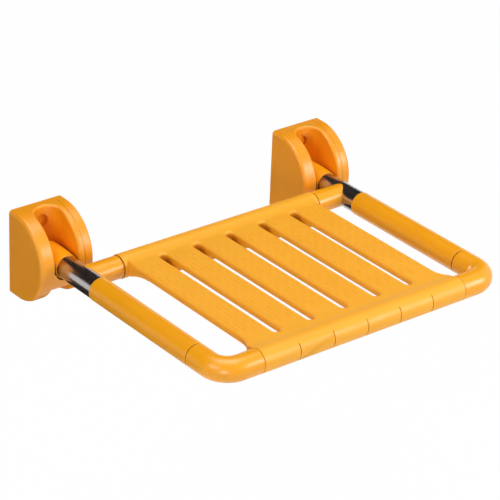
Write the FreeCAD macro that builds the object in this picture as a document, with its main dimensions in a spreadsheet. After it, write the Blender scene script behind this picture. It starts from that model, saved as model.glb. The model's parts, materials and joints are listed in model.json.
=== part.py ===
import FreeCAD, Part
import Sketcher
import math
import os

# Wall-mounted fold-up shower seat: two moulded wall brackets, a tubular frame
# clad in coloured nylon and a slatted seat moulding between the arms.
# Axes: the wall is the plane Y = 0 with the seat on the minus Y side, X runs
# along the wall and Z is up. Z = 0 is the level of the arms with the seat down.

doc = FreeCAD.newDocument("shower_seat")
sheet = doc.addObject("Spreadsheet::Sheet", "Sizes")

TABLE = [
    ("arm_pitch", 460.0, "distance between the two arm axes"),
    ("seat_reach", 425.0, "wall to the axis of the front bar"),
    ("cross_reach", 115.0, "wall to the axis of the rear cross bar"),
    ("clad_dia", 35.0, "outside of the sleeves, elbows and seat rolls"),
    ("core_dia", 26.9, "outside of the steel core tubes"),
    ("core_wall", 2.0, "wall of the core tubes"),
    ("clad_gap", 0.05, "radial room between cladding and core tube"),
    ("joint_gap", 1.5, "open joint between neighbouring mouldings"),
    ("joint_edge", 0.7, "softened edge either side of such a joint"),
    ("hinge_tube_dia", 33.7, "outside of the bare polished tubes"),
    ("tube_bare", 38.0, "cross bar axis forward to the end of the polished tubes"),
    ("elbow_leg", 56.5, "front bar axis back to the joint of sleeve and elbow"),
    ("elbow_bend", 28.0, "bend radius of the elbow axis"),
    ("elbow_bore", 15.0, "bore through the elbow"),
    ("spigot_gap", 0.05, "radial room of an elbow spigot in its tube"),
    ("spigot_depth", 28.0, "length of an elbow spigot"),
    ("elbow_run", 57.2, "arm axis in to the joint of elbow and front roll"),
    ("collar_run", 59.0, "arm axis in to the joint of collar and rear roll"),
    ("collar_gap", 2.2, "open joint between collar and rear roll"),
    ("collar_dia", 33.0, "outside of the cross bar collars"),
    ("collar_tip", 3.0, "collar tongue stops this far short of the arm axis"),
    ("cheek_thick", 23.5, "closed cheek of a bracket beside the recess"),
    ("wall_thick", 9.0, "bracket wall between the recess and the cover"),
    ("cover_thick", 14.5, "thickness of the side cover and its joint"),
    ("cover_wall", 4.0, "wall of the side cover"),
    ("head_radius", 67.0, "radius of the bracket front"),
    ("head_reach", 12.0, "wall to the centre of that radius"),
    ("foot_rise", 6.0, "level foot above the lowest point of the round front"),
    ("foot_soft", 9.0, "rounding of front into foot is this much under the front radius"),
    ("side_round", 5.0, "rounding of the outer bracket edges"),
    ("lip_round", 3.5, "rounding of the recess lip"),
    ("parting_bevel", 0.4, "small bevel either side of the parting line"),
    ("parting_gap", 0.3, "joint between bracket body and cover"),
    ("recess_dia", 40.0, "width of the arm recess"),
    ("pivot_reach", 33.0, "wall to the hinge pin"),
    ("pin_dia", 10.0, "hinge pin"),
    ("pin_blind", 16.0, "reach of the pin into the closed cheek"),
    ("pin_head_dia", 18.0, "hinge pin head"),
    ("pin_head_high", 5.0, "height of the pin head"),
    ("pin_key_dia", 8.0, "key socket in the pin head"),
    ("pin_key_deep", 3.0, "depth of that socket"),
    ("pin_seat_gap", 0.02, "radial room of the pin in the bracket"),
    ("pin_end_gap", 0.5, "end room of the pin and its head"),
    ("pin_bevel", 1.0, "bevel on the end of the pin"),
    ("run_gap", 0.05, "radial running room of the bushes on the pin"),
    ("bush_dia", 14.0, "outside of the hinge bushes"),
    ("bush_long", 14.0, "length of a hinge bush"),
    ("bush_seat_gap", 0.02, "radial room of a bush in the knuckle"),
    ("knuckle_play", 0.5, "room either side of the knuckle in its recess"),
    ("knuckle_long", 43.0, "hinge pin to the front end of the knuckle"),
    ("knuckle_nose", 300.0, "long swell of the knuckle towards its mouth"),
    ("knuckle_lip", 0.75, "lip of the knuckle round its tube"),
    ("socket_wall", 12.0, "hinge pin to the floor of the tube socket"),
    ("face_gap", 0.4, "room between a knuckle side face and its washer"),
    ("face_dia", 17.4, "side face of the knuckle around the pin"),
    ("washer_dia", 16.0, "thrust washer"),
    ("washer_thick", 2.0, "thickness of a thrust washer"),
    ("washer_gap", 0.1, "room round and behind a washer"),
    ("lock_dia", 5.0, "lock pin through knuckle and tubes"),
    ("lock_run", 25.0, "hinge pin to the lock pin"),
    ("lock_top", 15.2, "arm axis up to the top of the lock pin"),
    ("lock_low", 18.6, "arm axis down to the foot of the lock pin"),
    ("lock_gap", 0.03, "radial room of the lock pin"),
    ("hole_margin", 24.0, "wall screws are this far inside the round front"),
    ("hole_dia", 6.5, "wall screw hole"),
    ("screw_floor", 5.0, "plastic under a wall screw head"),
    ("screw_head_dia", 14.0, "pocket for a wall screw head"),
    ("cap_floor", 9.2, "wall to the seat of a screw cap"),
    ("cap_dia", 21.0, "screw cap"),
    ("cap_gap", 0.3, "radial room of a screw cap"),
    ("cap_edge", 1.6, "height of the straight rim of a cap"),
    ("cap_dome", 1.4, "dome of a cap above its rim"),
    ("rest_shoulder", 2.5, "arm rest block is let into the cheeks by this much"),
    ("rest_run", 24.0, "hinge pin to the back of the arm rest"),
    ("rest_top", 7.0, "arm axis down to the top of the arm rest"),
    ("rest_foot", 33.0, "arm axis down to the foot of the arm rest"),
    ("rest_inset", 1.0, "arm rest front behind the bracket front"),
    ("rest_gap", 0.15, "room round the arm rest block"),
    ("rest_cradle_gap", 0.4, "radial room of the knuckle over its rest"),
    ("peg_dia", 6.0, "snap peg of the cover"),
    ("peg_long", 6.0, "peg length beyond the parting line"),
    ("peg_gap", 0.05, "radial room of a peg"),
    ("peg_reach", 17.0, "wall to the pegs"),
    ("peg_margin", 29.0, "pegs are this far inside the round front"),
    ("slat_level", 12.5, "arm axis up to the slat tops"),
    ("slat_thick", 8.8, "thickness of a slat"),
    ("slat_edge", 4.0, "rounding of the slat edges"),
    ("slat_skin", 4.0, "skin over the moulding pockets below"),
    ("slat_flank", 4.5, "flank beside a moulding pocket"),
    ("slat_rib", 3.0, "rib between two moulding pockets"),
    ("slat_count", 6.0, "number of slats"),
    ("flank_step", 7.25, "seat flanks stand back from the ends of the front roll"),
    ("slot_wide", 12.3, "slot between two slats"),
    ("slot_rear_gap", 21.5, "cross bar axis to the rear end of the slots"),
    ("slot_front_gap", 29.5, "front bar axis to the front end of the slots"),
    ("blend_run", 25.5, "cross bar axis to where the rear roll has run out into the slats"),
    ("flare_radius", 30.0, "flare of the seat towards the elbows"),
    ("flare_gap", 23.0, "front bar axis to the outer end of the flares"),
    ("haunch_run", 69.0, "cross bar axis to where the slats begin to thicken"),
    ("haunch_radius", 105.0, "hollow of the thickened rear ends"),
    ("haunch_low", 8.0, "arm axis down to the thick rear end"),
    ("web_run", 44.4, "cross bar axis to the front of the web under the slats"),
    ("web_inset", 12.0, "web ends this far inside the seat flanks"),
    ("web_low", 8.0, "arm axis down to the underside of the web"),
    ("slot_floor", 5.0, "arm axis down to the slot floor over the web"),
    ("pocket_rear_gap", 90.0, "cross bar axis to the rear end of the moulding pockets"),
    ("pocket_front_gap", 40.0, "front bar axis to the front end of those pockets"),
    ("groove_wide", 1.3, "fine groove across the front roll"),
    ("groove_deep", 1.1, "depth of that groove"),
    ("groove_start", 42.0, "groove start, degrees forward of the top"),
    ("fix_dia", 4.0, "seat fixing screw"),
    ("fix_head_dia", 8.0, "head of a fixing screw"),
    ("fix_head_high", 2.2, "height of that head"),
    ("fix_sink", 1.8, "sinking of the head in the roll"),
    ("fix_long", 11.0, "length of a fixing screw below its head"),
    ("fix_gap", 0.05, "radial room of a fixing screw"),
]

for row, (name, value, note) in enumerate(TABLE, start=1):
    sheet.set("A%d" % row, note)
    sheet.set("B%d" % row, "%g" % value)
    sheet.setAlias("B%d" % row, name)
doc.recompute()


class Dim:
    """A size that knows both its number and the sheet expression behind it."""

    def __init__(self, value, text):
        self.value = value
        self.text = text

    def __add__(self, other):
        other = dim(other)
        return Dim(self.value + other.value, "(%s + %s)" % (self.text, other.text))

    def __sub__(self, other):
        other = dim(other)
        return Dim(self.value - other.value, "(%s - %s)" % (self.text, other.text))

    def __mul__(self, other):
        other = dim(other)
        return Dim(self.value * other.value, "(%s * %s)" % (self.text, other.text))

    def __truediv__(self, other):
        other = dim(other)
        return Dim(self.value / other.value, "(%s / %s)" % (self.text, other.text))

    def __neg__(self):
        return Dim(-self.value, "(0 - %s)" % self.text)

    def root(self):
        return Dim(math.sqrt(self.value), "sqrt(%s)" % self.text)

    def squared(self):
        return self * self


def dim(value):
    if isinstance(value, Dim):
        return value
    return Dim(float(value), "%r" % float(value))


class Named:
    """All driving sizes as attributes."""


size = Named()
for name, value, note in TABLE:
    setattr(size, name, Dim(value, "Sizes.%s" % name))

ZERO = dim(0)
TOL = 1e-3

# Sizes that follow from the driving ones.
size.hinge_tube_end = size.cross_reach + size.tube_bare
size.sleeve_end = size.seat_reach - size.elbow_leg
size.front_half = size.arm_pitch / 2 - size.elbow_run
size.rear_half = size.arm_pitch / 2 - size.collar_run
size.seat_half = size.front_half - size.flank_step
size.slat_pitch = (size.seat_half * 2 + size.slot_wide) / size.slat_count
size.fix_out = size.slat_pitch * (size.slat_count - 1) / 2 - size.slat_pitch
size.slot_rear = size.cross_reach + size.slot_rear_gap
size.slot_front = size.seat_reach - size.slot_front_gap
size.flare_end = size.seat_reach - size.flare_gap
size.haunch_start = size.cross_reach + size.haunch_run
size.web_front = size.cross_reach + size.web_run
size.pocket_rear = size.cross_reach + size.pocket_rear_gap
size.pocket_front = size.seat_reach - size.pocket_front_gap
size.recess_half = size.recess_dia / 2
size.cheek_x = -size.recess_half - size.cheek_thick
size.seat_x = size.recess_half + size.wall_thick
size.cover_x = size.seat_x + size.cover_thick
size.foot_drop = size.head_radius - size.foot_rise
size.foot_round = size.head_radius - size.foot_soft
size.hole_rise = size.head_radius - size.hole_margin
size.peg_rise = size.head_radius - size.peg_margin
size.pin_tip = size.recess_half + size.pin_blind
size.knuckle_dia = size.recess_dia - size.knuckle_play * 2
size.knuckle_end = size.pivot_reach + size.knuckle_long
size.socket_reach = size.pivot_reach + size.socket_wall
size.lock_reach = size.pivot_reach + size.lock_run
size.rest_back = size.pivot_reach + size.rest_run
size.rest_wide = size.recess_dia + size.rest_shoulder * 2
size.washer_x = size.recess_half - size.washer_gap
size.face_half = size.washer_x - size.washer_thick - size.face_gap


def bind(obj, prop, value):
    """Drive one property of an object from the sheet."""
    obj.setExpression(prop, dim(value).text)


def new_body(label, x=ZERO, y=ZERO, z=ZERO):
    """An empty body whose own origin stands at the given point."""
    body = doc.addObject("PartDesign::Body", label)
    body.Label = label
    body.Placement = FreeCAD.Placement(FreeCAD.Vector(x.value, y.value, z.value), FreeCAD.Rotation())
    for axis, value in (("x", x), ("y", y), ("z", z)):
        if value is not ZERO:
            bind(body, "Placement.Base.%s" % axis, value)
    return body


def origin_plane(body, role):
    for feature in body.Origin.OriginFeatures:
        if feature.Role == role:
            return feature
    raise RuntimeError("no plane " + role)


def new_sketch(body, name, role, offset=ZERO):
    """A sketch on one of the body's planes, shifted along the plane normal."""
    sketch = body.newObject("Sketcher::SketchObject", name)
    sketch.AttachmentSupport = [(origin_plane(body, role), "")]
    sketch.MapMode = "FlatFace"
    if offset is not ZERO:
        sketch.AttachmentOffset = FreeCAD.Placement(
            FreeCAD.Vector(0, 0, offset.value), FreeCAD.Rotation())
        bind(sketch, "AttachmentOffset.Base.z", offset)
    return sketch


def fix_point(sketch, geo, pos, x, y, which="xy"):
    """Hold a sketch point by its sheet-driven coordinates."""
    for letter, kind, axis, value in (("x", "DistanceX", -2, x), ("y", "DistanceY", -1, y)):
        if letter not in which:
            continue
        if value is ZERO:
            sketch.addConstraint(Sketcher.Constraint("PointOnObject", geo, pos, axis))
        else:
            index = sketch.addConstraint(Sketcher.Constraint(kind, -1, 1, geo, pos, value.value))
            sketch.setExpression("Constraints[%d]" % index, value.text)


def add_circle(sketch, x, y, diameter):
    geo = sketch.addGeometry(
        Part.Circle(FreeCAD.Vector(x.value, y.value, 0), FreeCAD.Vector(0, 0, 1), diameter.value / 2))
    fix_point(sketch, geo, 3, x, y)
    index = sketch.addConstraint(Sketcher.Constraint("Diameter", geo, diameter.value))
    sketch.setExpression("Constraints[%d]" % index, diameter.text)
    return geo


def add_outline(sketch, steps, closed=True):
    """A chain of lines and arcs.

    Each step is (x, y, which, arc): the point where the step starts, which of
    its coordinates are held, and None for a line to the next point or
    (centre x, centre y, turn) for an arc, turn +1 anticlockwise.
    """
    count = len(steps)
    last = count if closed else count - 1
    geos = []
    for index in range(last):
        x, y, which, arc = steps[index]
        x_next, y_next = steps[(index + 1) % count][:2]
        start = FreeCAD.Vector(x.value, y.value, 0)
        end = FreeCAD.Vector(x_next.value, y_next.value, 0)
        if arc is None:
            geo = sketch.addGeometry(Part.LineSegment(start, end))
            geos.append((geo, 1, 2))
            continue
        centre = FreeCAD.Vector(arc[0].value, arc[1].value, 0)
        radius = (start - centre).Length
        first = math.atan2(start.y - centre.y, start.x - centre.x)
        second = math.atan2(end.y - centre.y, end.x - centre.x)
        circle = Part.Circle(centre, FreeCAD.Vector(0, 0, 1), radius)
        if arc[2] > 0:
            geo = sketch.addGeometry(Part.ArcOfCircle(circle, first, second))
            geos.append((geo, 1, 2))
        else:
            geo = sketch.addGeometry(Part.ArcOfCircle(circle, second, first))
            geos.append((geo, 2, 1))
    for index in range(last):
        if not closed and index == last - 1:
            break
        here = geos[index]
        after = geos[(index + 1) % last]
        sketch.addConstraint(Sketcher.Constraint("Coincident", here[0], here[2], after[0], after[1]))
    for index in range(last):
        x, y, which, arc = steps[index]
        if arc is not None:
            fix_point(sketch, geos[index][0], 3, arc[0], arc[1])
        fix_point(sketch, geos[index][0], geos[index][1], x, y, which)
    if not closed:
        x, y, which, arc = steps[-1]
        fix_point(sketch, geos[-1][0], geos[-1][2], x, y, which)
    return [geo for geo, start, end in geos]


def add_box(sketch, x_low, y_low, x_high, y_high):
    add_outline(sketch, [
        (x_low, y_low, "xy", None),
        (x_high, y_low, "xy", None),
        (x_high, y_high, "xy", None),
        (x_low, y_high, "xy", None),
    ])


def extrude(body, kind, name, sketch, length=None, reverse=False, both=False):
    """A pad or pocket; without a length a pocket goes right through."""
    feature = body.newObject("PartDesign::" + kind, name)
    feature.Profile = sketch
    sketch.Visibility = False
    if length is None:
        feature.Type = "ThroughAll"
    else:
        feature.Length = length.value
        bind(feature, "Length", length)
    feature.Reversed = reverse
    feature.Midplane = both
    doc.recompute()
    return feature


def pad(body, name, sketch, length, reverse=False, both=False):
    return extrude(body, "Pad", name, sketch, length, reverse, both)


def pocket(body, name, sketch, length=None, reverse=False, both=False):
    before = body.Shape.Volume
    feature = extrude(body, "Pocket", name, sketch, length, reverse, both)
    if body.Shape.Volume > before - TOL:
        raise RuntimeError(body.Label + ": nothing removed by " + name)
    return feature


def turn(body, name, sketch, axis):
    """A full revolution about the sketch's own H_Axis or V_Axis."""
    feature = body.newObject("PartDesign::Revolution", name)
    feature.Profile = sketch
    feature.ReferenceAxis = (sketch, [axis])
    feature.Angle = 360.0
    sketch.Visibility = False
    doc.recompute()
    return feature


def repeat(body, name, feature, direction_sketch, length, count):
    """A row of one feature along X."""
    pattern = body.newObject("PartDesign::LinearPattern", name)
    pattern.Originals = [feature]
    pattern.Direction = (direction_sketch, ["H_Axis"])
    pattern.Length = length.value
    bind(pattern, "Length", length)
    pattern.Occurrences = int(round(count.value))
    bind(pattern, "Occurrences", count)
    body.Tip = pattern
    doc.recompute()
    return pattern


def dress(body, kind, name, keep, prop, value):
    """A fillet or chamfer on every edge of the tip for which keep is true."""
    base = body.Tip
    names = []
    for index, edge in enumerate(base.Shape.Edges, start=1):
        if keep(edge):
            names.append("Edge%d" % index)
    if not names:
        raise RuntimeError(body.Label + ": no edges for " + name)
    feature = body.newObject("PartDesign::" + kind, name)
    feature.Base = (base, names)
    setattr(feature, prop, value.value)
    bind(feature, prop, value)
    doc.recompute()
    return feature


def samples(edge, count=5):
    """Points along an edge, ends included."""
    low, high = edge.ParameterRange
    return [edge.valueAt(low + (high - low) * step / (count - 1)) for step in range(count)]


def group(label, members):
    """Equal fasteners kept together as separate solids of one node."""
    compound = doc.addObject("Part::Compound", label)
    compound.Label = label
    compound.Links = members
    return compound


SIDES = (("left", -1), ("right", 1))
nodes = []


def bracket_outline(inset=ZERO, level_cut=ZERO):
    """Side view of a bracket: flat back, round head and front, level foot."""
    radius = size.head_radius - inset
    foot = size.foot_drop - inset
    back = -inset
    reach = (radius.squared() - foot.squared()).root()
    if inset is ZERO:
        back = ZERO
        radius = size.head_radius
        foot = size.foot_drop
    centre_x = -size.head_reach
    return [
        (back, -foot, "xy", None),
        (back, radius, "xy", None),
        (centre_x, radius, "xy", (centre_x, ZERO, 1)),
        (centre_x - reach, -foot, "y", None),
    ]


def on_head(point, inset=0.0):
    """True for a point of the rounded bracket front."""
    span = math.hypot(point.y + size.head_reach.value, point.z)
    return abs(span - size.head_radius.value + inset) < TOL


def round_foot(body):
    """Soften the corner where the round front meets the level foot."""
    radius = size.head_radius.value
    foot = size.foot_drop.value
    corner_y = -size.head_reach.value - math.sqrt(radius ** 2 - foot ** 2)

    def keep(edge):
        ends = samples(edge)
        return all(math.hypot(p.y - corner_y, p.z + foot) < TOL for p in ends)

    dress(body, "Fillet", "FootRound", keep, "Radius", size.foot_round)


def round_side(body, plane_x):
    """Round the outer edge all along top, front and foot."""

    def keep(edge):
        ends = samples(edge)
        flat = all(abs(p.x - plane_x) < TOL for p in ends)
        return flat and not all(abs(p.y) < TOL for p in ends)

    dress(body, "Fillet", "SideRound", keep, "Radius", size.side_round)


def bevel_parting(body, plane_x):
    """Bevel the outside edge beside the parting line."""

    def keep(edge):
        ends = samples(edge)
        flat = all(abs(p.x - plane_x) < TOL for p in ends)
        return flat and on_head(ends[len(ends) // 2])

    dress(body, "Chamfer", "PartingBevel", keep, "Size", size.parting_bevel)


def bracket_body(side, sign):
    """Closed cheek, recess for the arm and the inner wall that takes the cover."""
    axis = size.arm_pitch / 2 * sign
    body = new_body(side + "_bracket_body", x=axis)
    left_x = size.cheek_x
    seat_x = size.seat_x

    outline = new_sketch(body, "BodyOutline", "YZ_Plane", left_x)
    add_outline(outline, bracket_outline())
    pad(body, "BodyPad", outline, seat_x - left_x)
    round_foot(body)
    round_side(body, left_x.value)
    bevel_parting(body, seat_x.value)

    half = size.recess_half
    mouth = size.head_reach + size.head_radius + size.recess_dia
    recess = new_sketch(body, "RecessPlan", "XY_Plane")
    add_outline(recess, [
        (half, -size.pivot_reach, "xy", (ZERO, -size.pivot_reach, 1)),
        (-half, -size.pivot_reach, "y", None),
        (-half, -mouth, "xy", None),
        (half, -mouth, "xy", None),
    ])
    pocket(body, "Recess", recess, both=True)

    def lip(edge):
        ends = samples(edge)
        inside = all(abs(p.x) < half.value + TOL for p in ends)
        return inside and all(on_head(p) for p in ends)

    dress(body, "Fillet", "LipRound", lip, "Radius", size.lip_round)

    notch = new_sketch(body, "RestNotch", "XZ_Plane", size.rest_back - size.rest_gap)
    notch_half = size.rest_wide / 2 + size.rest_gap
    add_box(notch, -notch_half, -size.rest_foot - size.rest_gap,
            notch_half, -size.rest_top + size.rest_gap)
    pocket(body, "RestSeat", notch, reverse=True)

    bore = new_sketch(body, "PinBore", "YZ_Plane", seat_x)
    add_circle(bore, -size.pivot_reach, ZERO, size.pin_dia + size.pin_seat_gap * 2)
    pocket(body, "PinHole", bore, seat_x + size.pin_tip + size.pin_end_gap)
    sink = new_sketch(body, "PinHeadBore", "YZ_Plane", seat_x)
    add_circle(sink, -size.pivot_reach, ZERO, size.pin_head_dia + size.pin_end_gap * 2)
    pocket(body, "PinHeadSeat", sink, size.pin_head_high + size.pin_end_gap)

    room = new_sketch(body, "WasherRoomPlan", "YZ_Plane")
    add_circle(room, -size.pivot_reach, ZERO, size.washer_dia + size.washer_gap * 2)
    pocket(body, "WasherRoom", room, size.recess_dia, both=True)

    pegs = new_sketch(body, "PegBores", "YZ_Plane", seat_x)
    for rise in (size.peg_rise, -size.peg_rise):
        add_circle(pegs, -size.peg_reach, rise, size.peg_dia + size.peg_gap * 2)
    pocket(body, "PegHoles", pegs, size.peg_long + size.pin_end_gap)

    steps = (
        ("ScrewHoles", ZERO, size.hole_dia, size.screw_floor + size.cap_floor),
        ("ScrewHeads", size.screw_floor, size.screw_head_dia, size.cap_floor),
        ("CapSeats", size.cap_floor, size.cap_dia + size.cap_gap * 2, size.pivot_reach - size.cap_floor),
    )
    for name, depth, diameter, length in steps:
        holes = new_sketch(body, name + "Plan", "XZ_Plane", depth)
        for rise in (size.hole_rise, -size.hole_rise):
            add_circle(holes, ZERO, rise, diameter)
        pocket(body, name, holes, length, reverse=True)
    return body


def bracket_cover(side, sign):
    """Hollow side cover, snapped over the hinge pin head with two pegs."""
    axis = size.arm_pitch / 2 * sign
    body = new_body(side + "_bracket_cover", x=axis)
    outer_x = size.cover_x
    inner_x = size.seat_x + size.parting_gap
    depth = size.cover_thick - size.parting_gap - size.cover_wall

    outline = new_sketch(body, "CoverOutline", "YZ_Plane", inner_x)
    add_outline(outline, bracket_outline())
    pad(body, "CoverPad", outline, size.cover_thick - size.parting_gap)
    round_foot(body)
    round_side(body, outer_x.value)
    bevel_parting(body, inner_x.value)

    hollow = new_sketch(body, "CoverHollow", "YZ_Plane", inner_x)
    add_outline(hollow, bracket_outline(size.cover_wall))
    pocket(body, "Hollow", hollow, depth, reverse=True)

    pegs = new_sketch(body, "PegPlan", "YZ_Plane", inner_x + depth)
    for rise in (size.peg_rise, -size.peg_rise):
        add_circle(pegs, -size.peg_reach, rise, size.peg_dia)
    pad(body, "Pegs", pegs, depth + size.parting_gap + size.peg_long, reverse=True)
    return body


def hinge_pin(side, sign):
    """Turned pin with a flat head and a key socket."""
    axis = size.arm_pitch / 2 * sign
    body = new_body(side + "_hinge_pin", x=axis, y=-size.pivot_reach)
    seat_x = size.seat_x
    head_x = seat_x - size.pin_head_high
    radius = size.pin_dia / 2
    profile = new_sketch(body, "PinProfile", "XY_Plane")
    add_outline(profile, [
        (-size.pin_tip, ZERO, "xy", None),
        (seat_x - size.pin_key_deep, ZERO, "xy", None),
        (seat_x - size.pin_key_deep, size.pin_key_dia / 2, "xy", None),
        (seat_x, size.pin_key_dia / 2, "xy", None),
        (seat_x, size.pin_head_dia / 2, "xy", None),
        (head_x, size.pin_head_dia / 2, "xy", None),
        (head_x, radius, "xy", None),
        (-size.pin_tip + size.pin_bevel, radius, "xy", None),
        (-size.pin_tip, radius - size.pin_bevel, "xy", None),
    ])
    turn(body, "PinTurned", profile, "H_Axis")
    return body


def ring_on_pin(label, axis, start, long, outer, inner):
    """A ring round the hinge pin from start along plus X."""
    body = new_body(label, x=axis, y=-size.pivot_reach)
    profile = new_sketch(body, "RingProfile", "YZ_Plane", start)
    add_circle(profile, ZERO, ZERO, outer)
    add_circle(profile, ZERO, ZERO, inner)
    pad(body, "Ring", profile, long)
    return body


def screw_cap(label, axis, rise):
    """Push-in cap with a slightly domed face over a wall screw."""
    body = new_body(label, x=axis, y=-size.cap_floor, z=rise)
    radius = size.cap_dia / 2
    dome = (radius.squared() + size.cap_dome.squared()) / (size.cap_dome * 2)
    profile = new_sketch(body, "CapProfile", "XY_Plane")
    add_outline(profile, [
        (ZERO, ZERO, "xy", None),
        (ZERO, -size.cap_edge - size.cap_dome, "x", (ZERO, dome - size.cap_edge - size.cap_dome, 1)),
        (radius, -size.cap_edge, "xy", None),
        (radius, ZERO, "xy", None),
    ])
    turn(body, "CapTurned", profile, "V_Axis")
    return body


def arm_rest(side, sign):
    """Block let into the bracket front, hollowed as the rest of the lowered arm."""
    axis = size.arm_pitch / 2 * sign
    body = new_body(side + "_arm_rest", x=axis)
    radius = size.head_radius - size.rest_inset
    centre_x = -size.head_reach
    top_reach = (radius.squared() - size.rest_top.squared()).root()
    foot_reach = (radius.squared() - size.rest_foot.squared()).root()
    outline = new_sketch(body, "RestOutline", "YZ_Plane")
    add_outline(outline, [
        (-size.rest_back, -size.rest_foot, "xy", None),
        (-size.rest_back, -size.rest_top, "xy", None),
        (centre_x - top_reach, -size.rest_top, "xy", (centre_x, ZERO, 1)),
        (centre_x - foot_reach, -size.rest_foot, "y", None),
    ])
    pad(body, "RestBlock", outline, size.rest_wide, both=True)
    cradle = new_sketch(body, "CradlePlan", "XZ_Plane")
    add_circle(cradle, ZERO, ZERO, size.knuckle_dia + size.rest_cradle_gap * 2)
    pocket(body, "Cradle", cradle, both=True)
    return body


def hinge_knuckle(side, sign):
    """Round-ended hinge knuckle with a deep socket for the arm tubes."""
    axis = size.arm_pitch / 2 * sign
    body = new_body(side + "_hinge_knuckle", x=axis)
    radius = size.knuckle_dia / 2
    socket = size.hinge_tube_dia / 2 + size.clad_gap
    mouth = socket + size.knuckle_lip
    narrowing = radius - mouth
    nose_run = (size.knuckle_nose * narrowing * 2 - narrowing.squared()).root()
    profile = new_sketch(body, "KnuckleProfile", "XY_Plane")
    add_outline(profile, [
        (ZERO, radius - size.pivot_reach, "x", None),
        (ZERO, -size.socket_reach, "xy", None),
        (socket, -size.socket_reach, "xy", None),
        (socket, -size.knuckle_end, "xy", None),
        (mouth, -size.knuckle_end, "xy", (radius - size.knuckle_nose, nose_run - size.knuckle_end, 1)),
        (radius, nose_run - size.knuckle_end, "y", None),
        (radius, -size.pivot_reach, "xy", (ZERO, -size.pivot_reach, 1)),
    ])
    turn(body, "KnuckleTurned", profile, "V_Axis")

    for name, reverse in (("InnerFace", True), ("OuterFace", False)):
        start = size.face_half if reverse else -size.face_half
        face = new_sketch(body, name + "Plan", "YZ_Plane", start)
        add_circle(face, -size.pivot_reach, ZERO, size.face_dia)
        pocket(body, name, face, size.knuckle_dia, reverse=reverse)
    bore = new_sketch(body, "BushBore", "YZ_Plane")
    add_circle(bore, -size.pivot_reach, ZERO, size.bush_dia + size.bush_seat_gap * 2)
    pocket(body, "BushSeat", bore, both=True)

    lock = new_sketch(body, "LockPlan", "XY_Plane", -size.knuckle_dia)
    add_circle(lock, ZERO, -size.lock_reach, size.lock_dia + size.lock_gap * 2)
    pocket(body, "LockHole", lock, size.knuckle_dia + size.lock_top + size.lock_gap, reverse=True)
    return body


def lock_pin(side, sign):
    """Spring pin from below through knuckle, polished tube and core tube."""
    axis = size.arm_pitch / 2 * sign
    body = new_body(side + "_lock_pin", x=axis, y=-size.lock_reach)
    profile = new_sketch(body, "LockProfile", "XY_Plane", -size.lock_low)
    add_circle(profile, ZERO, ZERO, size.lock_dia)
    pad(body, "LockShank", profile, size.lock_low + size.lock_top)
    return body


def soften_rims(body, outer):
    """Round the outside rims of a moulding where its round ends meet neighbours."""

    def rim(edge):
        ends = samples(edge)
        along_arm = all(abs(math.hypot(p.x, p.z) - outer.value / 2) < TOL for p in ends)
        along_front = all(
            abs(math.hypot(p.y + size.seat_reach.value, p.z) - outer.value / 2) < TOL for p in ends)
        level_y = all(abs(p.y - ends[0].y) < TOL for p in ends)
        level_x = all(abs(p.x - ends[0].x) < TOL for p in ends)
        return (along_arm and level_y) or (along_front and level_x)

    dress(body, "Fillet", "RimRound", rim, "Radius", size.joint_edge)


def tube_along_arm(label, axis, start, end, outer, inner, locked, softened):
    """Straight tube on an arm axis; locked ones are cross drilled for the pin."""
    body = new_body(label, x=axis)
    ring = new_sketch(body, "TubeRing", "XZ_Plane", start)
    add_circle(ring, ZERO, ZERO, outer)
    add_circle(ring, ZERO, ZERO, inner)
    pad(body, "TubeWall", ring, end - start)
    if softened:
        soften_rims(body, outer)
    if locked:
        drill = new_sketch(body, "LockPlan", "XY_Plane")
        add_circle(drill, ZERO, -size.lock_reach, size.lock_dia + size.lock_gap * 2)
        pocket(body, "LockHole", drill, both=True)
    return body


def corner_elbow(side, sign):
    """Swept elbow with a spigot into the arm tube and one into the front tube."""
    axis = size.arm_pitch / 2 * sign
    body = new_body(side + "_corner_elbow", x=axis)
    start_y = -size.sleeve_end - size.joint_gap / 2
    corner_y = -size.seat_reach + size.elbow_bend
    bend_x = -size.elbow_bend * sign
    end_x = (size.front_half + size.joint_gap / 2 - size.arm_pitch / 2) * sign
    spigot = size.core_dia - size.core_wall * 2 - size.spigot_gap * 2
    tip_y = start_y + size.spigot_depth
    tip_x = end_x - size.spigot_depth * sign

    def path(name, first_y, last_x):
        spine = new_sketch(body, name, "XY_Plane")
        turned = 1 if sign < 0 else -1
        add_outline(spine, [
            (ZERO, first_y, "xy", None),
            (ZERO, corner_y, "xy", (bend_x, corner_y, turned)),
            (bend_x, -size.seat_reach, "x", None),
            (last_x, -size.seat_reach, "xy", None),
        ], closed=False)
        spine.Visibility = False
        return spine

    def sweep(kind, name, spine, first_y, diameter):
        disc = new_sketch(body, name + "Disc", "XZ_Plane", -first_y)
        add_circle(disc, ZERO, ZERO, diameter)
        disc.Visibility = False
        doc.recompute()
        pipe = body.newObject("PartDesign::" + kind, name)
        pipe.Profile = disc
        pipe.Spine = (spine, ["Edge1", "Edge2", "Edge3"])
        doc.recompute()
        return pipe

    sweep("AdditivePipe", "ElbowBody", path("ElbowPath", start_y, end_x), start_y, size.clad_dia)
    soften_rims(body, size.clad_dia)
    first = new_sketch(body, "ArmSpigotPlan", "XZ_Plane", -tip_y)
    add_circle(first, ZERO, ZERO, spigot)
    pad(body, "ArmSpigot", first, size.spigot_depth + size.core_wall)
    second = new_sketch(body, "FrontSpigotPlan", "YZ_Plane", tip_x)
    add_circle(second, -size.seat_reach, ZERO, spigot)
    pad(body, "FrontSpigot", second, size.spigot_depth + size.core_wall, reverse=sign < 0)
    sweep("SubtractivePipe", "ElbowBore", path("BorePath", tip_y, tip_x), tip_y, size.elbow_bore)
    return body


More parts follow.
